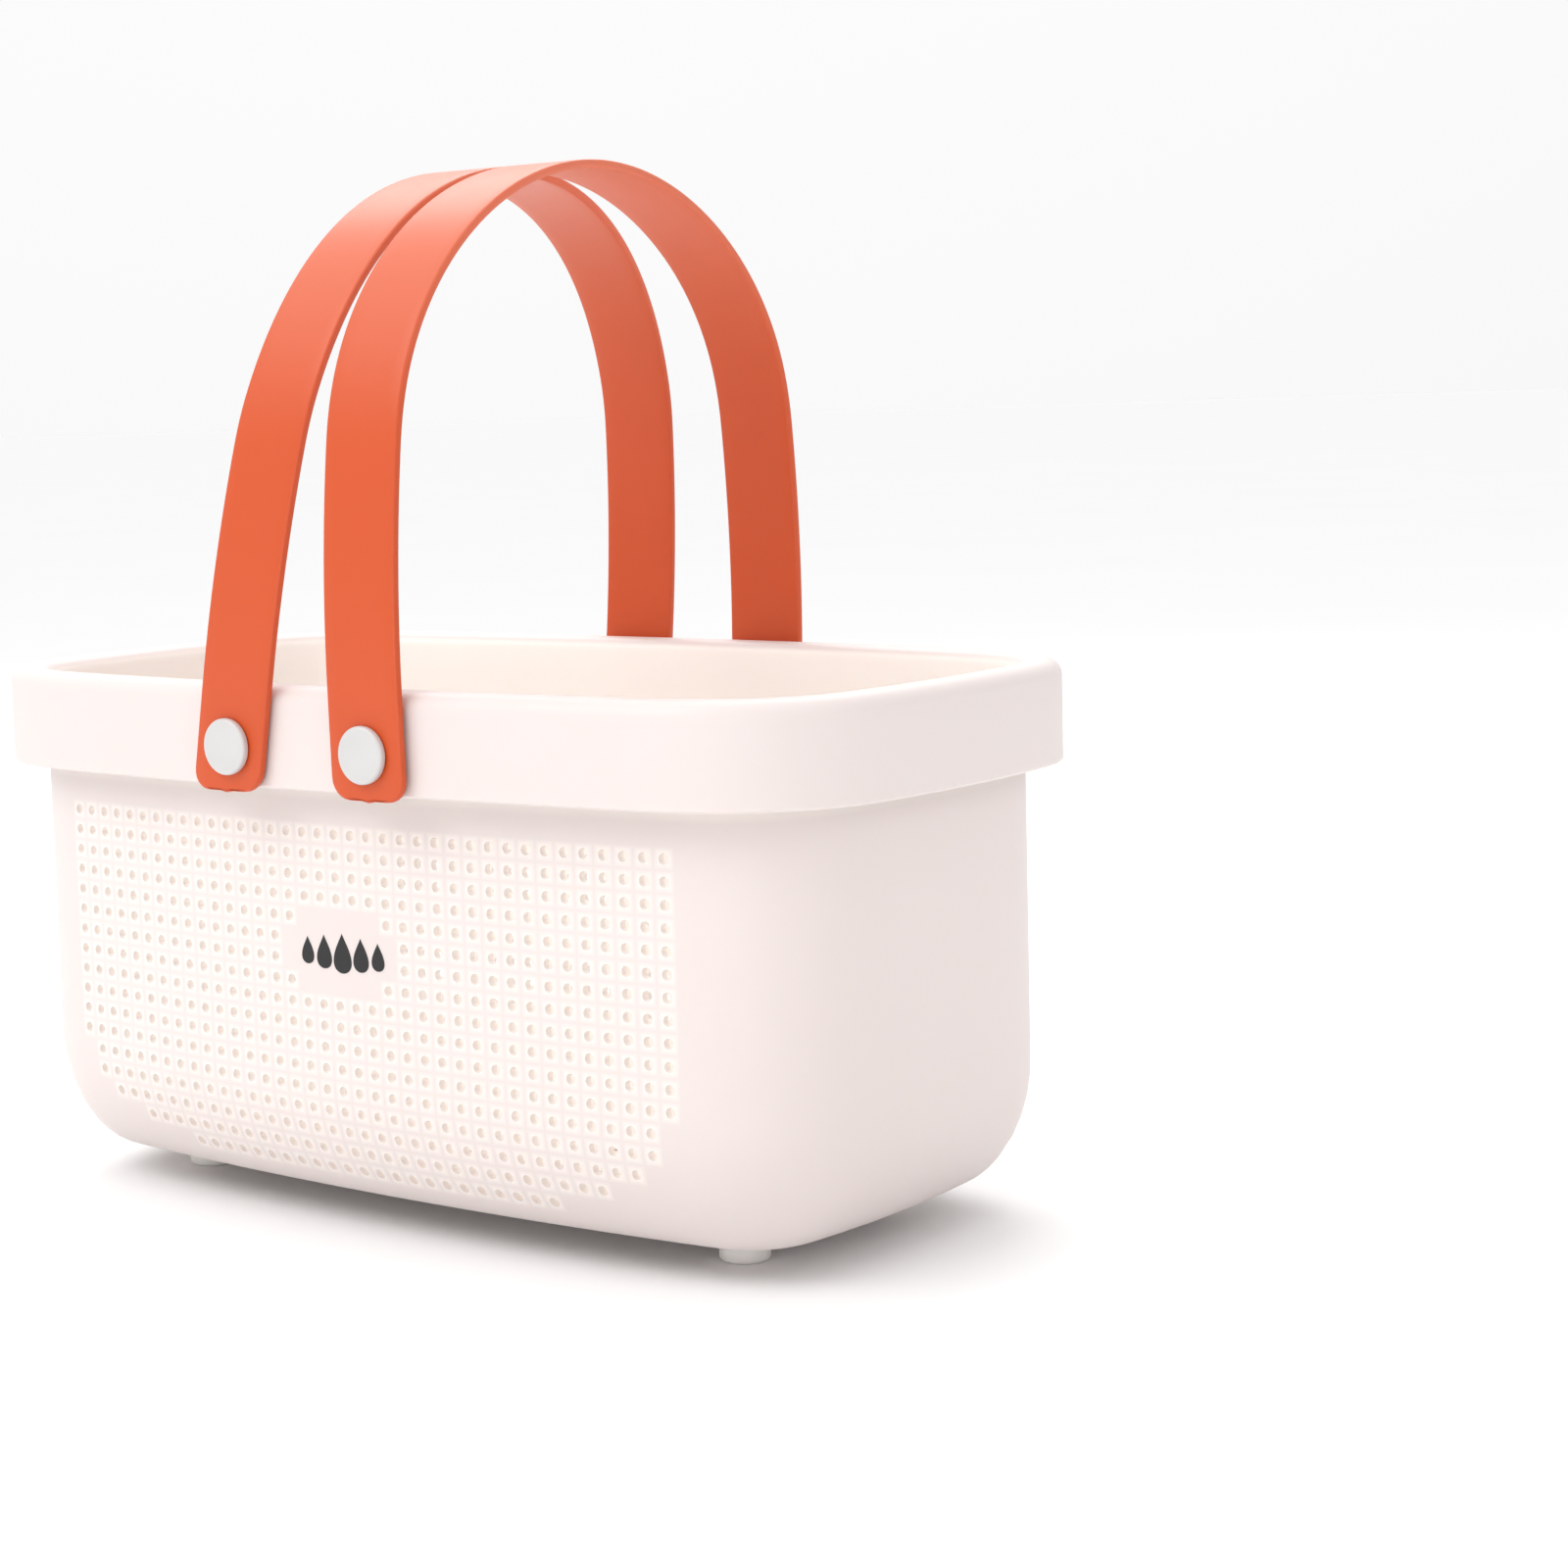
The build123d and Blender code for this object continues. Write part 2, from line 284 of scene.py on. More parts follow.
def tub_plastic():
    """Satin warm white plastic with faint mould flow and a fine grain; painted shade darkens it towards the
    bottom, and painted light makes it paler inside, in the rim's channel and round each hole.
    """
    finish = Finish("tub_plastic")
    flow = finish.noise(9, 4, 0.55, (1, 1, 0.35))
    grain = finish.noise(2600, 2, 0.6)
    wear = finish.noise(60, 5, 0.6)
    tint = finish.blend(flow, (0.745, 0.672, 0.652, 1), (0.71, 0.637, 0.617, 1))
    # Painted shade: the outside is darkened towards the bottom, near the floor.
    low = 1 - finish.axis("Z").above(0.03, 0.03)
    outside = finish.blend(low * 0.25, tint, (0.66, 0.58, 0.55, 1))
    # Painted light: the marked inside, rim channel and hole edges take a paler colour than the outside.
    inside = finish.painted("inside")
    base = finish.blend(inside, outside, (0.96, 0.905, 0.86, 1))
    finish.set(
        base_color=base,
        roughness=0.40 + flow * 0.08 + wear * 0.06,
        ior=1.49,
        subsurface_weight=0.25,
        subsurface_radius=(1.0, 0.85, 0.7),
        subsurface_scale=0.003,
    )
    finish.bump(grain * 0.7 + wear * 0.3, 0.00003, 0.35)
    return finish.material


def strap_plastic():
    """Soft orange plastic with a faint leather-like grain, and a painted sheen that makes it paler towards
    the crown.
    """
    finish = Finish("strap_plastic")
    cloud = finish.noise(22, 4, 0.6)
    grain = finish.noise(1900, 3, 0.6)
    scuff = finish.noise(140, 4, 0.7, (1, 1, 0.3))
    body = finish.blend(cloud, (0.60, 0.082, 0.017, 1), (0.56, 0.074, 0.014, 1))
    # Painted sheen: the colour is made paler above 0.265 m, towards the crown.
    painted_crown_sheen = finish.axis("Z").above(0.265, 0.05) * (0.55 + cloud * 0.3)
    tint = finish.blend(painted_crown_sheen, body, (0.72, 0.20, 0.115, 1))
    finish.set(
        base_color=tint,
        roughness=0.33 + cloud * 0.08 + scuff * 0.07,
        ior=1.5,
        specular_ior_level=0.42,
        subsurface_weight=0.08,
        subsurface_radius=(1.0, 0.25, 0.12),
        subsurface_scale=0.0015,
    )
    finish.bump(grain * 0.6 + scuff * 0.4, 0.00003, 0.4)
    return finish.material


def rivet_plastic():
    """Glossier white moulding with a touch of grey."""
    finish = Finish("rivet_plastic")
    cloud = finish.noise(120, 3, 0.5)
    scratch = finish.noise(900, 4, 0.7, (1, 1, 0.15))
    tint = finish.blend(cloud, (0.60, 0.59, 0.585, 1), (0.565, 0.555, 0.55, 1))
    finish.set(base_color=tint, roughness=0.26 + scratch * 0.12, ior=1.5)
    finish.bump(scratch, 0.00002, 0.25)
    return finish.material


def foot_plastic():
    """Matt warm grey-white plastic, a little darker on the sole."""
    finish = Finish("foot_plastic")
    cloud = finish.noise(160, 4, 0.6)
    grain = finish.noise(2400, 2, 0.6)
    sole = 1 - finish.axis("Z").above(0.0015, 0.0015)
    tint = finish.blend(cloud, (0.97, 0.925, 0.885, 1), (0.94, 0.885, 0.845, 1))
    base = finish.blend(sole * 0.3, tint, (0.6, 0.55, 0.51, 1))
    finish.set(
        base_color=base,
        roughness=0.5 + cloud * 0.12,
        ior=1.48,
        subsurface_weight=0.6,
        subsurface_radius=(1.0, 0.9, 0.8),
        subsurface_scale=0.004,
    )
    finish.bump(grain, 0.00003, 0.4)
    return finish.material


def print_ink():
    """Pad-printed black ink with slightly uneven cover."""
    finish = Finish("print_ink")
    cover = finish.noise(1500, 4, 0.6)
    tint = finish.blend(cover, (0.008, 0.008, 0.009, 1), (0.02, 0.019, 0.02, 1))
    finish.set(base_color=tint, roughness=0.42 + cover * 0.15, ior=1.45)
    finish.bump(cover, 0.00001, 0.3)
    return finish.material


def studio_white():
    """Pale paper for the floor."""
    finish = Finish("studio_paper")
    cloud = finish.noise(3, 2, 0.5)
    tint = finish.blend(cloud, (0.93, 0.93, 0.93, 1), (0.91, 0.91, 0.91, 1))
    finish.set(base_color=tint, roughness=0.8)
    return finish.material


# ---- mesh helpers -------------------------------------------------------------------
def piece_from(bm, name, material, body, sharp_angle=35):
    """Turns a bmesh into a finished, smooth-shaded piece that rides on a body, facing outwards."""
    if bm.calc_volume(signed=True) < 0:
        bmesh.ops.reverse_faces(bm, faces=bm.faces)
    mesh = bpy.data.meshes.new(name)
    bm.to_mesh(mesh)
    bm.free()
    mesh.shade_smooth()
    mesh.set_sharp_from_angle(angle=math.radians(sharp_angle))
    mesh.materials.append(material)
    piece = bpy.data.objects.new(name, mesh)
    bpy.context.scene.collection.objects.link(piece)
    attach(piece, body)
    return piece


def numbered_grid(columns, rows):
    """Flat grid of unit cells: a vertex's x is its column number, its y its row number."""
    bm = bmesh.new()
    bmesh.ops.create_grid(bm, x_segments=columns, y_segments=rows, size=0.5)
    for vert in bm.verts:
        vert.co = Vector(((vert.co.x + 0.5) * columns, (vert.co.y + 0.5) * rows, 0))
    return bm


def punch(bm, cells, radius_across, radius_along):
    """Cuts one round hole in each of the given cells; radii are in cell units."""
    faces = [face for face in bm.faces if cells(*cell_of(face))]
    bmesh.ops.inset_individual(bm, faces=faces, thickness=0.2, use_even_offset=True)
    rings = {edge for face in faces for edge in face.edges}
    bmesh.ops.bisect_edges(bm, edges=list(rings), cuts=HOLE_EDGE_PARTS - 1)
    for face in faces:
        centre = face.calc_center_median()
        for vert in face.verts:
            outward = (vert.co - centre).normalized()
            vert.co = centre + Vector((outward.x * radius_across, outward.y * radius_along, 0))
    bmesh.ops.delete(bm, geom=faces, context="FACES")


def cell_of(face):
    centre = face.calc_center_median()
    return math.floor(centre.x), math.floor(centre.y)


def thicken(bm):
    """Doubles a flat sheet, the copy one unit up, with side walls at every edge."""
    made = bmesh.ops.extrude_face_region(bm, geom=bm.faces[:], use_keep_orig=True)
    lifted = [item for item in made["geom"] if isinstance(item, bmesh.types.BMVert)]
    bmesh.ops.translate(bm, verts=lifted, vec=(0, 0, 1))


def open_sides(bm, on_side):
    """Removes the side walls whose corners all lie on a side that will be joined up."""
    walls = [face for face in bm.faces if abs(face.normal.z) < 0.5 and all(on_side(v) for v in face.verts)]
    bmesh.ops.delete(bm, geom=walls, context="FACES_ONLY")


# ---- tub ----------------------------------------------------------------------------
def corner_centre():
    """Centre of the corner arc that touches both bowed sides."""
    long_y = HALF_WIDTH - LONG_SIDE_RADIUS
    short_x = HALF_LENGTH - SHORT_SIDE_RADIUS
    reach_long = LONG_SIDE_RADIUS - CORNER_RADIUS
    reach_short = SHORT_SIDE_RADIUS - CORNER_RADIUS
    apart = math.hypot(short_x, long_y)
    along = (reach_long**2 - reach_short**2 + apart**2) / (2 * apart)
    across = math.sqrt(reach_long**2 - along**2)
    return (
        (along * short_x - across * long_y) / apart,
        long_y - (along * long_y + across * short_x) / apart,
    )


CORNER_X, CORNER_Y = corner_centre()
CORNER_STEPS = (75, 66, 56, 46, 36, 26, 16)
SHORT_SIDE_STEPS = (-3, -2, -1, 0, 1, 2, 3)
SHORT_SIDE_ANGLE = math.atan2(CORNER_Y, CORNER_X - HALF_LENGTH + SHORT_SIDE_RADIUS)
COLUMN_EDGES = [(i - HOLE_COLUMNS / 2) * HOLE_PITCH_X for i in range(HOLE_COLUMNS + 1)]


def stations():
    """Upright lines round the tub, in order from the front wall's left end."""
    front = [("long", x, 1, -1) for x in COLUMN_EDGES]
    right = [("corner", a, 1, -1) for a in CORNER_STEPS]
    right += [("short", s, 1, 1) for s in SHORT_SIDE_STEPS]
    right += [("corner", a, 1, 1) for a in reversed(CORNER_STEPS)]
    back = [("long", -x, 1, 1) for x in COLUMN_EDGES]
    left = [("corner", a, -1, 1) for a in CORNER_STEPS]
    left += [("short", s, -1, 1) for s in reversed(SHORT_SIDE_STEPS)]
    left += [("corner", a, -1, -1) for a in reversed(CORNER_STEPS)]
    return front, right, back, left


FRONT, RIGHT, BACK, LEFT = stations()
ROUND = FRONT + RIGHT + BACK + LEFT
BACK_START = len(FRONT) + len(RIGHT)


def plan_point(station, inset):
    """Plan position of a station on the outline, moved inwards by inset."""
    kind, value, flip_x, flip_y = station
    corner = CORNER_RADIUS - inset
    if kind == "corner":
        angle = math.radians(value)
        return flip_x * (CORNER_X + corner * math.cos(angle)), flip_y * (CORNER_Y + corner * math.sin(angle))
    if kind == "short":
        angle = SHORT_SIDE_ANGLE * value / SHORT_SIDE_STEPS[-1]
        reach = SHORT_SIDE_RADIUS - inset
        return flip_x * (HALF_LENGTH - SHORT_SIDE_RADIUS + reach * math.cos(angle)), reach * math.sin(angle)
    x = min(abs(value), CORNER_X + corner * math.cos(math.radians(80)))
    reach = LONG_SIDE_RADIUS - inset
    if x <= reach * CORNER_X / (LONG_SIDE_RADIUS - CORNER_RADIUS):
        y = HALF_WIDTH - LONG_SIDE_RADIUS + math.sqrt(reach**2 - x**2)
    else:
        y = CORNER_Y + math.sqrt(corner**2 - (x - CORNER_X) ** 2)
    return math.copysign(x, value), flip_y * y


def base_round(drop, inner):
    """Inset and height on the base round, from how much of its height it has dropped."""
    bottom = FOOT_HEIGHT + (FLOOR if inner else 0)
    inward = BASE_ROUND_WIDTH * (1 - max(1 - drop**BASE_ROUND_POWER, 0) ** (1 / BASE_ROUND_POWER))
    inset = RIM_OVERHANG + (WALL if inner else 0) + inward
    return inset, BASE_ROUND_TOP - drop * (BASE_ROUND_TOP - bottom)


def drop_at(height, inner):
    bottom = FOOT_HEIGHT + (FLOOR if inner else 0)
    return max((BASE_ROUND_TOP - height) / (BASE_ROUND_TOP - bottom), 0)


def rim_rings():
    """(inset, height) of the outside and the inside face, from the hole field up and over."""
    rings = [((RIM_OVERHANG, z), (RIM_OVERHANG + WALL, z)) for z in (124 * MM, 132 * MM, 143 * MM)]
    inner_inset = RIM_OVERHANG + WALL - RIM_INNER_ROUND
    turns = [(inner_inset, RIM_INNER_ROUND, angle) for angle in (0, 22.5, 45, 67.5, 90)]
    turns += [(RIM_OUTER_ROUND, RIM_OUTER_ROUND, angle) for angle in (90, 105, 120, 135, 150, 165, 180)]
    for centre, radius, angle in turns:
        across = math.cos(math.radians(angle))
        up = math.sin(math.radians(angle))
        rings.append(
            tuple((centre + r * across, RIM_TOP - radius + r * up) for r in (radius - WALL, radius))
        )
    for z in (RIM_TOP - 16 * MM, SKIRT_BOTTOM + SKIRT_LIP_ROUND):
        rings.append(((WALL, z), (0, z)))
    rings.append(((WALL - SKIRT_LIP_ROUND, SKIRT_BOTTOM), (SKIRT_LIP_ROUND, SKIRT_BOTTOM)))
    return rings


RIM_RINGS = rim_rings()
LOW_ROWS = 5
# Rows and amounts of the painted light that makes the inside, the rim's channel and each hole's edge paler.
INSIDE_ROWS = LOW_ROWS + HOLE_ROWS + 5.5
CHANNEL_ROW = LOW_ROWS + HOLE_ROWS + 1.5
HOLE_GLOW = 0.4


def profile(row, inner):
    """Inset and height of a row line, counted from the floor's edge to the skirt's lip."""
    if row < LOW_ROWS:
        field_drop = drop_at(HOLE_FIELD_BOTTOM, inner)
        turn = math.acos(field_drop ** (BASE_ROUND_POWER / 2)) * row / LOW_ROWS
        return base_round(math.cos(turn) ** (2 / BASE_ROUND_POWER), inner)
    if row <= LOW_ROWS + HOLE_ROWS:
        height = HOLE_FIELD_BOTTOM + (row - LOW_ROWS) * HOLE_PITCH_Z
        return base_round(drop_at(height, inner), inner)[0], height
    return RIM_RINGS[round(row) - LOW_ROWS - HOLE_ROWS - 1][inner]


def wrap_round(vert):
    """Moves a vertex of the flat numbered sheet to its place on the tub."""
    column, row, inner = vert.co.x, vert.co.y, vert.co.z > 0.5
    kind, value, flip_x, flip_y = ROUND[math.floor(column + 1e-6) % len(ROUND)]
    part_way = column - math.floor(column + 1e-6)
    if part_way > 1e-6:
        following = ROUND[math.ceil(column) % len(ROUND)]
        value += (following[1] - value) * part_way
    inset, z = profile(row, inner)
    x, y = plan_point((kind, value, flip_x, flip_y), inset)
    vert.co = Vector((x, y, z))


def painted_light_amount(vert):
    """Painted light: 1 on the smooth inside and in the rim's channel, and part of it round each hole as a
    painted glow.
    """
    column, row, inner = vert.co
    if inner > 0.5:
        return float(row < INSIDE_ROWS)
    if row > CHANNEL_ROW:
        return 1.0
    by_hole = abs(column - round(column)) > 0.01 or abs(row - round(row)) > 0.01
    return HOLE_GLOW if by_hole else 0.0


def is_wall_hole(column, row):
    start = BACK_START if column >= BACK_START else 0
    across = abs(column - start - HOLE_COLUMNS // 2)
    down = HOLE_ROWS - 1 - (row - LOW_ROWS)
    if not 0 <= down < HOLE_ROWS:
        return False
    return PATCH_HALF_COLUMNS.get(down, -1) < across <= HOLE_COLUMNS // 2 - ROW_TRIM.get(down, 0)


def make_floor():
    """Flat middle of the floor, with its drain holes, as a mesh to be joined in."""
    bm = numbered_grid(DRAIN_COLUMNS, DRAIN_ROWS)
    punch(bm, lambda column, row: True, HOLE_RADIUS / DRAIN_PITCH, HOLE_RADIUS / DRAIN_PITCH)
    thicken(bm)
    bm.normal_update()
    for axis, limit in ((0, 0), (0, DRAIN_COLUMNS), (1, 0), (1, DRAIN_ROWS)):
        open_sides(bm, lambda vert: abs(vert.co[axis] - limit) < 1e-6)
    for vert in bm.verts:
        x = (vert.co.x - DRAIN_COLUMNS / 2) * DRAIN_PITCH
        y = (vert.co.y - DRAIN_ROWS / 2) * DRAIN_PITCH
        vert.co = Vector((x, y, FOOT_HEIGHT + vert.co.z * FLOOR))
    # Painted light: the floor's upper face is marked to be painted paler, like the rest of the inside.
    inside = bm.verts.layers.float.new("inside")
    for vert in bm.verts:
        vert[inside] = float(vert.co.z > FOOT_HEIGHT + FLOOR / 2)
    mesh = bpy.data.meshes.new("floor_middle")
    bm.to_mesh(mesh)
    bm.free()
    return mesh


def make_tub(material):
    """The tub is one sheet: punched flat, given its thickness, and wrapped round."""
    rows = LOW_ROWS + HOLE_ROWS + len(RIM_RINGS)
    bm = numbered_grid(len(ROUND), rows)
    punch(bm, is_wall_hole, HOLE_RADIUS / HOLE_PITCH_X, HOLE_RADIUS / HOLE_PITCH_Z)
    thicken(bm)
    bm.normal_update()
    open_sides(bm, lambda vert: vert.co.x < 1e-6)
    open_sides(bm, lambda vert: vert.co.x > len(ROUND) - 1e-6)
    open_sides(bm, lambda vert: vert.co.y < 1e-6)
    # Painted light: marks the inside, the rim's channel and each hole's edge to be painted paler.
    inside = bm.verts.layers.float.new("inside")
    for vert in bm.verts:
        vert[inside] = painted_light_amount(vert)
        wrap_round(vert)
    bmesh.ops.remove_doubles(bm, verts=bm.verts, dist=MERGE)
    bm.from_mesh(make_floor())
    bmesh.ops.delete(bm, geom=[edge for edge in bm.edges if edge.is_wire], context="EDGES")
    for height in (FOOT_HEIGHT, FOOT_HEIGHT + FLOOR):
        open_edges = [edge for edge in bm.edges if edge.is_boundary]
        rims = [e for e in open_edges if all(abs(v.co.z - height) < SAME_LEVEL for v in e.verts)]
        bmesh.ops.triangle_fill(bm, edges=rims, use_beauty=True, use_dissolve=False)
    bmesh.ops.recalc_face_normals(bm, faces=bm.faces)
    tub = piece_from(bm, "tub_shell", material, "tub")
    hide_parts("basket_tub")
    return tub


# ---- straps -------------------------------------------------------------------------
def strap_arcs():
    """Radius and sweep of the side arc, and the crown arc's height, of the strap's line."""
    crown_z = STRAP_CROWN_HEIGHT - STRAP_CROWN_RADIUS
    rise = crown_z - STRAP_STRAIGHT
    side_radius = (STRAP_HALF_SPAN**2 + rise**2 - STRAP_CROWN_RADIUS**2) / (
        2 * (STRAP_HALF_SPAN - STRAP_CROWN_RADIUS)
    )
    return side_radius, math.atan2(rise, side_radius - STRAP_HALF_SPAN), crown_z


SIDE_RADIUS, SIDE_SWEEP, CROWN_Z = strap_arcs()
HALF_STRAP = (
    STRAP_TAIL + STRAP_STRAIGHT + SIDE_RADIUS * SIDE_SWEEP
    + STRAP_CROWN_RADIUS * (math.pi / 2 - SIDE_SWEEP)
)


def strap_line(distance):
    """Half-span, height over the pivot, and lean of the outward normal, from the tab's end."""
    if distance <= STRAP_TAIL + STRAP_STRAIGHT:
        return STRAP_HALF_SPAN, distance - STRAP_TAIL, 0.0
    distance -= STRAP_TAIL + STRAP_STRAIGHT
    if distance <= SIDE_RADIUS * SIDE_SWEEP:
        angle = distance / SIDE_RADIUS
        half_span = STRAP_HALF_SPAN - SIDE_RADIUS * (1 - math.cos(angle))
        return half_span, STRAP_STRAIGHT + SIDE_RADIUS * math.sin(angle), angle
    angle = SIDE_SWEEP + (distance - SIDE_RADIUS * SIDE_SWEEP) / STRAP_CROWN_RADIUS
    return STRAP_CROWN_RADIUS * math.cos(angle), CROWN_Z + STRAP_CROWN_RADIUS * math.sin(angle), angle


def sideways(height, lean, crown_shift):
    """How far the strap's middle stands beside its pivot at a height."""
    top = STRAP_CROWN_HEIGHT + STRAP_THICK
    over = max(height - STRAP_BEND, 0) / (top - STRAP_BEND)
    return lean * height + (crown_shift - lean * top) * over**2


def make_strap(end, material):
    joint = JOINTS[end + "_strap_fold"]
    pivot_x, pivot_z = joint["pos_m"][0], joint["pos_m"][2]
    course = STRAP_COURSES[end]
    tab = [STRAP_TAB_ROUND * (1 - math.cos(math.radians(angle))) for angle in range(0, 91, 15)]
    steps = round((HALF_STRAP - STRAP_TAB_ROUND) / STRAP_STEP)
    half = tab + [STRAP_TAB_ROUND + (HALF_STRAP - STRAP_TAB_ROUND) * i / steps for i in range(1, steps + 1)]
    distances = half + [2 * HALF_STRAP - d for d in reversed(half[:-1])]
    bm = numbered_grid(STRAP_COLUMNS, len(distances) - 1)
    for vert in bm.verts:
        distance = distances[round(vert.co.y)]
        from_end = min(distance, 2 * HALF_STRAP - distance, STRAP_TAB_ROUND)
        cut_back = STRAP_TAB_ROUND - math.sqrt(STRAP_TAB_ROUND**2 - (STRAP_TAB_ROUND - from_end) ** 2)
        half_width = STRAP_WIDTH / 2 - cut_back
        across = (vert.co.x / STRAP_COLUMNS * 2 - 1) * half_width
        if from_end == 0 and abs(across) < 0.1 * MM:
            distance += math.copysign(GATE_NUB, distance - HALF_STRAP)
        vert.co = Vector((across, distance, 0))
    made = bmesh.ops.extrude_face_region(bm, geom=bm.faces[:], use_keep_orig=True)
    lifted = [item for item in made["geom"] if isinstance(item, bmesh.types.BMVert)]
    bmesh.ops.translate(bm, verts=lifted, vec=(0, 0, STRAP_THICK))
    bmesh.ops.recalc_face_normals(bm, faces=bm.faces)
    bm.normal_update()
    corners = [e for e in bm.edges if e.is_manifold and e.calc_face_angle() > math.radians(60)]
    corners = [e for e in corners if abs(e.verts[0].co.z - e.verts[1].co.z) < 0.1 * MM]
    bmesh.ops.bevel(
        bm, geom=corners, offset=STRAP_EDGE_ROUND, segments=3, profile=0.5, affect="EDGES", material=-1
    )
    for vert in bm.verts:
        across, distance, depth = vert.co
        front = distance < HALF_STRAP
        half_span, height, angle = strap_line(min(distance, 2 * HALF_STRAP - distance))
        outward = depth - STRAP_THICK / 2
        half_span += outward * math.cos(angle)
        height += outward * math.sin(angle)
        lean = course["front_lean" if front else "back_lean"]
        x = pivot_x + across + sideways(height, lean, course["crown_shift"])
        vert.co = Vector((x, -half_span if front else half_span, pivot_z + height))
    bmesh.ops.recalc_face_normals(bm, faces=bm.faces)
    strap = piece_from(bm, "strap_" + end, material, end + "_strap")
    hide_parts("handle_strap_" + end)


# ---- rivets and feet ----------------------------------------------------------------
def turned(outline):
    """Round solid from half of its section, given as (radius, height) from axis to axis."""
    bm = bmesh.new()
    verts = [bm.verts.new((radius, 0, height)) for radius, height in outline]
    edges = [bm.edges.new(pair) for pair in zip(verts, verts[1:])]
    bmesh.ops.spin(
        bm, geom=verts + edges, cent=(0, 0, 0), axis=(0, 0, 1), angle=2 * math.pi, steps=48, use_merge=True
    )
    bmesh.ops.remove_doubles(bm, verts=bm.verts, dist=MERGE)
    bmesh.ops.recalc_face_normals(bm, faces=bm.faces)
    return bm


def quarter_round(radius, height, size, start, end, steps=5):
    """Points of a rounded corner with its centre at (radius, height)."""
    angles = [math.radians(start + (end - start) * i / steps) for i in range(steps + 1)]
    return [(radius + size * math.cos(a), height + size * math.sin(a)) for a in angles]


def make_rivet(face, end, material):
    """Low button head with a soft edge, a shallow dish and a shank into the skirt."""
    node = "rivet_" + face + "_" + end
    low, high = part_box(node)
    radius = (high.x - low.x) / 2
    length = high.y - low.y
    head_back = length - HEAD_THICK
    back_round = radius - HEAD_BACK_EDGE
    outline = [(0, 0), (SHANK_RADIUS, 0), (SHANK_RADIUS, head_back), (back_round, head_back)]
    outline += quarter_round(back_round, head_back + HEAD_BACK_EDGE, HEAD_BACK_EDGE, -90, 0, 3)[1:]
    outline += quarter_round(radius - HEAD_EDGE, length - HEAD_EDGE, HEAD_EDGE, 0, 90)
    outline += [(radius - DISH_LIP, length), (radius - DISH_EDGE, length - DISH_EDGE_DEPTH)]
    outline.append((0, length - DISH_MIDDLE_DEPTH))
    bm = turned(outline)
    for vert in bm.verts:
        x, y, z = vert.co
        depth = high.y - (length - z) if face == "back" else low.y + (length - z)
        vert.co = Vector(((low.x + high.x) / 2 + x, depth, (low.z + high.z) / 2 + y))
    bmesh.ops.recalc_face_normals(bm, faces=bm.faces)
    rivet = piece_from(bm, "button_" + face + "_" + end, material, "tub", 60)
    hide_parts(node)


def make_foot(face, end, material):
    """Short round pad with a soft lower edge and a shallow recess in its sole."""
    node = "foot_" + face + "_" + end
    low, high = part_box(node)
    radius = (high.x - low.x) / 2
    top = FOOT_HEIGHT + PAD_SOCKET
    outline = [(0, PAD_RECESS), (radius - PAD_RECESS_IN, PAD_RECESS), (radius - PAD_RECESS_OUT, 0)]
    outline += quarter_round(radius - PAD_EDGE, PAD_EDGE, PAD_EDGE, -90, 0)
    outline += [(radius, top), (0, top)]
    bm = turned(outline)
    bmesh.ops.translate(bm, verts=bm.verts, vec=((low.x + high.x) / 2, (low.y + high.y) / 2, 0))
    foot = piece_from(bm, "pad_" + face + "_" + end, material, "tub", 50)
    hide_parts(node)


# ---- printed mark -------------------------------------------------------------------
def make_mark(material):
    """A small printed row of water drops in the blank patch of the front wall."""
    bm = bmesh.new()
    for place, size in DROPS:
        ring = bmesh.ops.create_circle(bm, cap_ends=True, segments=40, radius=1)["verts"]
        for vert in ring:
            angle = math.atan2(vert.co.x, vert.co.y)
            pinch = abs(math.sin(angle / 2)) ** 1.4
            x = MARK_MIDDLE_X + (place + size * 0.72 * math.sin(angle) * pinch) * MM
            z = MARK_MIDDLE_Z + (size * 0.85 * math.cos(angle)) * MM
            vert.co = Vector((x, 0, z))
    made = bmesh.ops.extrude_face_region(bm, geom=bm.faces[:], use_keep_orig=True)
    lifted = [item for item in made["geom"] if isinstance(item, bmesh.types.BMVert)]
    bmesh.ops.translate(bm, verts=lifted, vec=(0, 1, 0))
    for vert in bm.verts:
        proud = MARK_PROUD if vert.co.y < 0.5 else -MARK_PROUD
        vert.co.y = plan_point(("long", vert.co.x, 1, -1), RIM_OVERHANG)[1] - proud
    bmesh.ops.recalc_face_normals(bm, faces=bm.faces)
    piece_from(bm, "printed_drops", material, "tub", 50)


# ---- stage, lights and camera -------------------------------------------------------
def make_stage():
    bm = bmesh.new()
    bmesh.ops.create_circle(bm, cap_ends=True, segments=96, radius=25)
    bmesh.ops.translate(bm, verts=bm.verts, vec=(0, 0, CAD_BOX[0][2]))
    mesh = bpy.data.meshes.new("studio_floor")
    bm.to_mesh(mesh)
    bm.free()
    mesh.materials.append(studio_white())
    floor = bpy.data.objects.new("studio_floor", mesh)
    bpy.context.scene.collection.objects.link(floor)


def add_softbox(name, place, aim, size, power):
    light = bpy.data.lights.new(name, "AREA")
    light.shape = "RECTANGLE"
    light.size, light.size_y = size
    light.energy = power
    lamp = bpy.data.objects.new(name, light)
    lamp.location = place
    lamp.rotation_euler = (Vector(aim) - Vector(place)).to_track_quat("-Z", "Y").to_euler()
    bpy.context.scene.collection.objects.link(lamp)


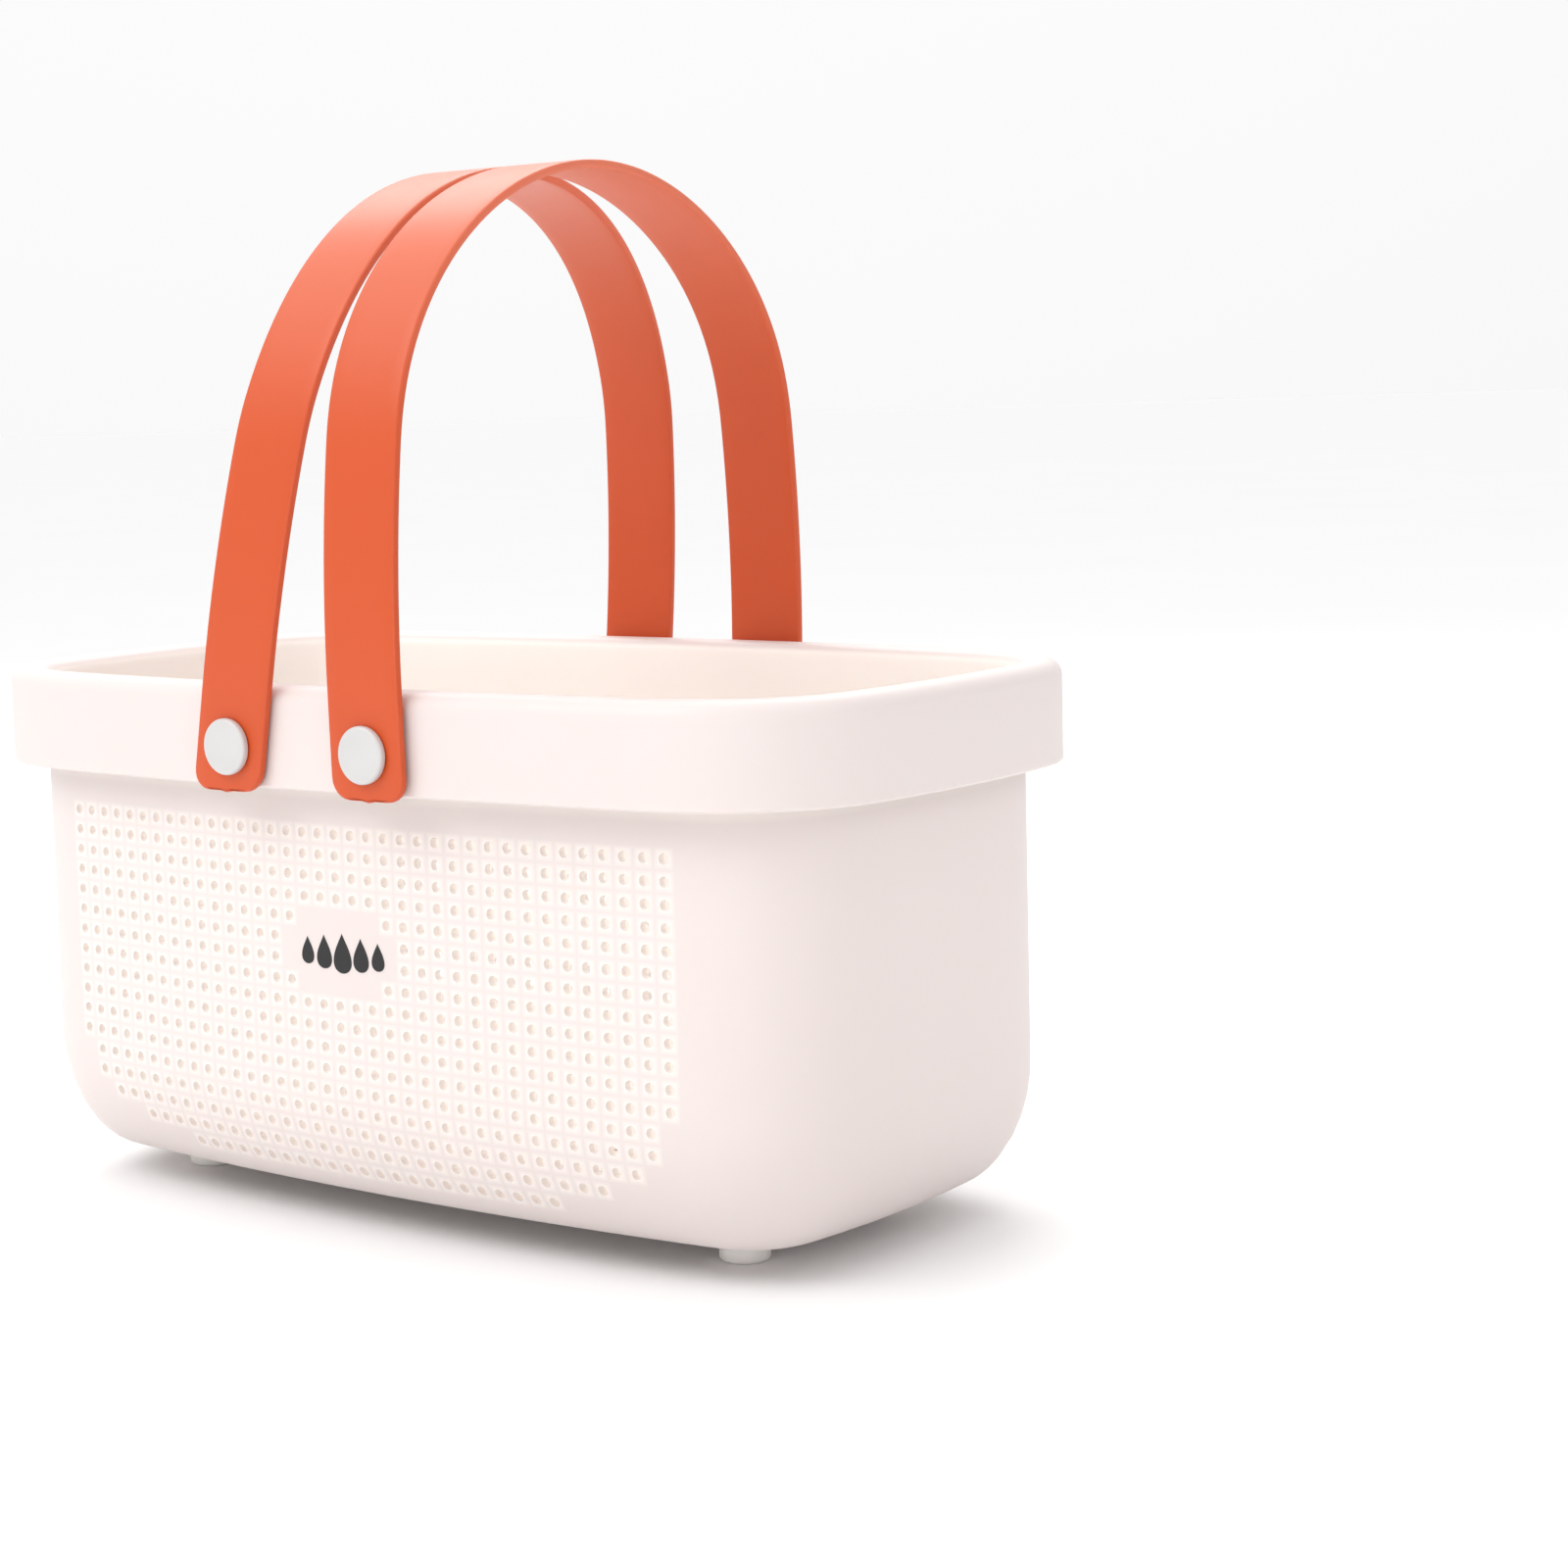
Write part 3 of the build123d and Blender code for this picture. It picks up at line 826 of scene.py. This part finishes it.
def make_lights():
    """A room that is brighter behind and above, a glow from the ceiling, and four soft lamps."""
    world = bpy.data.worlds.new("studio_air")
    world.use_nodes = True
    nodes, links = world.node_tree.nodes, world.node_tree.links
    heading = nodes.new("ShaderNodeTexCoord").outputs["Generated"]
    towards = nodes.new("ShaderNodeVectorMath")
    towards.operation = "DOT_PRODUCT"
    links.new(heading, towards.inputs[0])
    towards.inputs[1].default_value = Vector(ROOM_BRIGHTEST).normalized()
    level = nodes.new("ShaderNodeMapRange")
    level.inputs["From Min"].default_value = -1
    level.inputs["To Min"].default_value = ROOM_DARK
    level.inputs["To Max"].default_value = ROOM_BRIGHT
    links.new(towards.outputs["Value"], level.inputs["Value"])
    back = nodes["Background"]
    back.inputs["Color"].default_value = (1, 1, 1, 1)
    links.new(level.outputs[0], back.inputs["Strength"])
    bpy.context.scene.world = world
    ceiling = bpy.data.lights.new("ceiling_glow", "SUN")
    ceiling.angle = math.radians(80)
    ceiling.energy = 0.85
    lamp = bpy.data.objects.new("ceiling_glow", ceiling)
    lamp.rotation_euler = Vector((0.15, 0.35, -1)).to_track_quat("-Z", "Y").to_euler()
    bpy.context.scene.collection.objects.link(lamp)
    for softbox in SOFTBOXES:
        add_softbox(*softbox)


def make_camera():
    level = math.cos(CAMERA_ELEVATION)
    back = Vector(
        (math.sin(CAMERA_AZIMUTH) * level, -math.cos(CAMERA_AZIMUTH) * level, math.sin(CAMERA_ELEVATION))
    )
    flat = Vector((math.cos(CAMERA_AZIMUTH), math.sin(CAMERA_AZIMUTH), 0))
    upright = back.cross(flat)
    right = flat * math.cos(CAMERA_ROLL) + upright * math.sin(CAMERA_ROLL)
    up = upright * math.cos(CAMERA_ROLL) - flat * math.sin(CAMERA_ROLL)
    camera = bpy.data.cameras.new("camera")
    camera.sensor_width = 36
    camera.lens = CAMERA_LENS
    camera.shift_x, camera.shift_y = CAMERA_SHIFT
    seat = bpy.data.objects.new("camera", camera)
    seat.matrix_world = Matrix((right, up, back)).transposed().to_4x4()
    seat.location = CAMERA_PLACE
    bpy.context.scene.collection.objects.link(seat)
    bpy.context.scene.camera = seat


# ---- making -------------------------------------------------------------------------
make_camera()
make_tub(tub_plastic())
orange = strap_plastic()
button = rivet_plastic()
pad = foot_plastic()
for end in ("left", "right"):
    make_strap(end, orange)
    for face in ("front", "back"):
        make_rivet(face, end, button)
        make_foot(face, end, pad)
        cap = frame["nodes"]["rivet_cap_" + face + "_" + end]
        cap.data.materials.clear()
        cap.data.materials.append(button)
make_mark(print_ink())
make_stage()
make_lights()
bpy.context.scene.view_settings.view_transform = "Standard"
